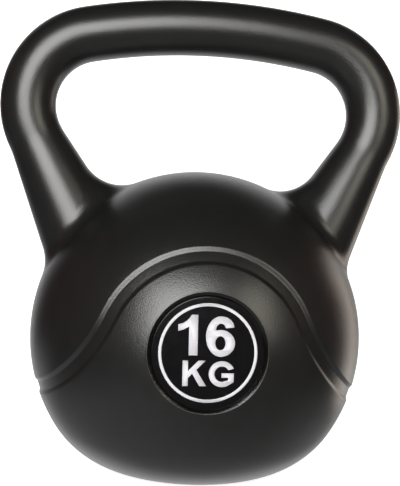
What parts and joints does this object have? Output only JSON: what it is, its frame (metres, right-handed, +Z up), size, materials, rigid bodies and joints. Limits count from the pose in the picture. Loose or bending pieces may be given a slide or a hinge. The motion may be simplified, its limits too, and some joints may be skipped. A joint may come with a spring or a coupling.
{
  "type": "kettlebell",
  "caption": "Cement-filled plastic kettlebell: a round body with a flat foot, two flaring horns and an arched handle bar in one moulded shell, with a sunk band and a round badge.",
  "frame": {"origin": "centre of the flat foot, on the face that the kettlebell stands on", "axes": "+Z up through the ball and the handle, +X along the handle bar, -Y out of the front badge"},
  "size_m": [0.266, 0.2084, 0.3099],
  "materials": {
    "shell": "satin, finely grained",
    "fill": "rough cast cement",
    "rod": "as drawn",
    "plug": "satin",
    "badge": "smooth print, white figures on black"
  },
  "bodies": {
    "root": {"shell": "shell", "body_fill": "fill", "handle_rod": "rod", "fill_plug": "plug", "front_badge": "badge", "back_badge": "badge"}
  },
  "joints": []
}
